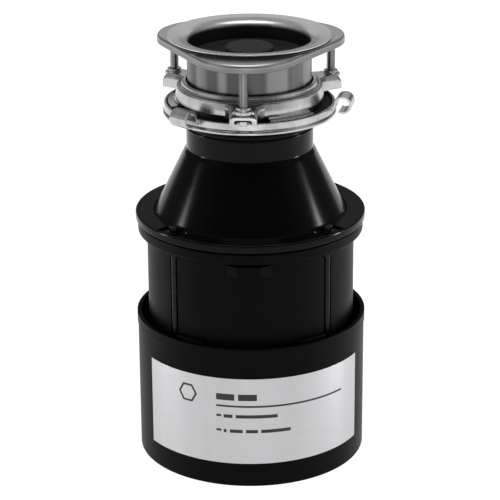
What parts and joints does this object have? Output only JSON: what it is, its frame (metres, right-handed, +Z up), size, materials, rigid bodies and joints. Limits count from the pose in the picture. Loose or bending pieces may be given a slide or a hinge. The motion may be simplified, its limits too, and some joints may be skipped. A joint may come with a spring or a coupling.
{
  "type": "kitchen garbage disposal",
  "caption": "Continuous-feed food waste disposer with a screw-clamped sink mount, black hopper and body, silver label and rear discharge elbow.",
  "frame": {"origin": "on the throat's axis, in the plane where the sink flange's rim seats on the sink", "axes": "+Z up along the throat and motor shaft; -Y the labelled front; +Y the discharge side; +X to the right seen from the front"},
  "size_m": [0.16, 0.2082, 0.2995],
  "materials": {
    "satin_black": "satin moulded",
    "gloss_black": "high gloss",
    "brushed_steel": "brushed",
    "zinc_plate": "bright zinc plate",
    "cast_grey": "satin plated",
    "black_rubber": "moulded rubber",
    "grey_fibre": "pressed fibre",
    "dark_steel": "oiled black steel",
    "lamination": "stacked steel",
    "copper": "enamelled wire",
    "bronze": "sintered bronze",
    "painted_frame": "black paint",
    "button_red": "moulded",
    "ground_green": "green dyed plate",
    "label_silver": "brushed foil"
  },
  "bodies": {
    "disposer": {"lower_container": "satin_black", "inlet_plug": "satin_black", "trim_shell": "satin_black", "discharge_elbow": "satin_black", "through_bolt_1": "satin_black", "through_bolt_2": "satin_black", "through_bolt_3": "satin_black", "through_bolt_4": "satin_black", "upper_container": "gloss_black", "sink_flange": "brushed_steel", "stationary_shredder": "brushed_steel", "upper_mounting_ring": "zinc_plate", "terminal_cover": "zinc_plate", "cover_screw_1": "zinc_plate", "cover_screw_2": "zinc_plate", "discharge_flange": "zinc_plate", "flange_screw_1": "zinc_plate", "flange_screw_2": "zinc_plate", "backup_flange": "cast_grey", "mounting_gasket": "black_rubber", "container_gasket": "black_rubber", "shaft_seal": "black_rubber", "cable_grommet": "black_rubber", "discharge_gasket": "black_rubber", "fibre_gasket": "grey_fibre", "snap_ring": "dark_steel", "motor_housing": "dark_steel", "stator_core": "lamination", "winding_upper": "copper", "winding_lower": "copper", "upper_bearing": "bronze", "lower_bearing": "bronze", "thrust_washer": "bronze", "lower_end_frame": "painted_frame", "start_switch": "painted_frame", "overload_protector": "painted_frame", "ground_screw": "ground_green", "rating_label": "label_silver"},
    "lower_ring": {"lower_mounting_ring": "zinc_plate"},
    "mount_screw_1": {"mount_screw_1": "zinc_plate"},
    "mount_screw_2": {"mount_screw_2": "zinc_plate"},
    "mount_screw_3": {"mount_screw_3": "zinc_plate"},
    "stopper": {"sink_stopper": "black_rubber"},
    "grinder": {"turntable": "brushed_steel", "turntable_nut": "dark_steel", "lug_rivet_1": "dark_steel", "lug_rivet_2": "dark_steel", "shaft": "dark_steel", "slinger": "satin_black", "rotor_core": "lamination"},
    "swivel_lug_1": {"swivel_lug_1": "brushed_steel"},
    "swivel_lug_2": {"swivel_lug_2": "brushed_steel"},
    "switch_collar": {"switch_collar": "satin_black"},
    "reset_button": {"reset_button": "button_red"}
  },
  "joints": [
    {"name": "ring_twist", "type": "hinge", "parent": "disposer", "child": "lower_ring", "pos_m": [0, 0, -0.0479], "axis": [0, 0, 1], "range_deg": [-45, 0]},
    {"name": "screw_1_travel", "type": "slide", "parent": "disposer", "child": "mount_screw_1", "axis": [0, 0, -1], "range_m": [0, 0.006]},
    {"name": "screw_2_travel", "type": "slide", "parent": "disposer", "child": "mount_screw_2", "axis": [0, 0, -1], "range_m": [0, 0.006]},
    {"name": "screw_3_travel", "type": "slide", "parent": "disposer", "child": "mount_screw_3", "axis": [0, 0, -1], "range_m": [0, 0.006]},
    {"name": "stopper_lift", "type": "slide", "parent": "disposer", "child": "stopper", "axis": [0, 0, 1], "range_m": [0, 0.06]},
    {"name": "grinder_spin", "type": "hinge", "parent": "disposer", "child": "grinder", "pos_m": [0, 0, -0.1969], "axis": [0, 0, 1], "continuous": true},
    {"name": "lug_1_swivel", "type": "hinge", "parent": "grinder", "child": "swivel_lug_1", "pos_m": [0.02175, -0.03767, -0.1429], "axis": [0, 0, 1], "continuous": true},
    {"name": "lug_2_swivel", "type": "hinge", "parent": "grinder", "child": "swivel_lug_2", "pos_m": [-0.02175, 0.03767, -0.1429], "axis": [0, 0, 1], "continuous": true},
    {"name": "switch_collar_slide", "type": "slide", "parent": "grinder", "child": "switch_collar", "axis": [0, 0, 1], "range_m": [0, 0.0025], "stiffness_N_per_m": 400},
    {"name": "reset_button_press", "type": "slide", "parent": "disposer", "child": "reset_button", "axis": [0, 0, 1], "range_m": [0, 0.0025], "stiffness_N_per_m": 600}
  ]
}
